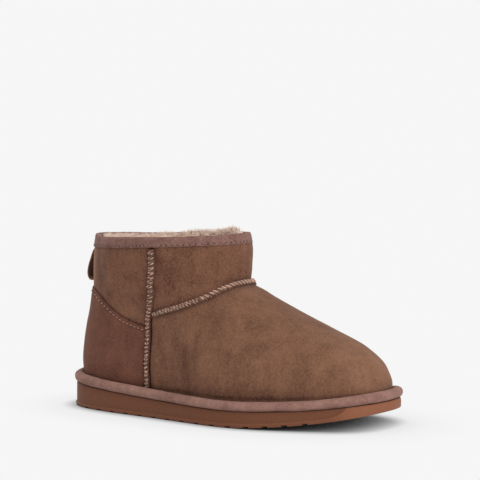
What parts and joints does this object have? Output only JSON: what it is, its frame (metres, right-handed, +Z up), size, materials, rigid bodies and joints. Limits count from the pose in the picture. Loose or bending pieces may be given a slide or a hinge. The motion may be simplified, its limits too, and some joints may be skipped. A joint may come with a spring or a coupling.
{
  "type": "sheepskin ankle boot",
  "caption": "Right sheepskin ankle boot with a hollow suede upper, fleece at the collar, padded welt and flat grooved sole.",
  "frame": {"origin": "middle of the sole's box on the floor, where the tread rests", "axes": "+X towards the toe, +Z up, -Y towards the outer side of the right foot"},
  "size_m": [0.2726, 0.1166, 0.1403],
  "materials": {
    "sole_rubber": "matt moulded rubber",
    "welt_suede": "napped suede",
    "insole_fleece": "sheared fleece",
    "suede": "napped suede",
    "seam_suede": "napped suede",
    "heel_suede": "napped suede",
    "binding_suede": "napped suede",
    "fleece": "curled wool",
    "loop_suede": "napped suede"
  },
  "bodies": {
    "root": {"outsole": "sole_rubber", "welt": "welt_suede", "insole": "insole_fleece", "upper": "suede", "side_seam_outer": "seam_suede", "side_seam_inner": "seam_suede", "vamp_seam": "seam_suede", "heel_counter": "heel_suede", "collar_binding": "binding_suede", "fleece_collar": "fleece", "pull_loop": "loop_suede"}
  },
  "joints": []
}
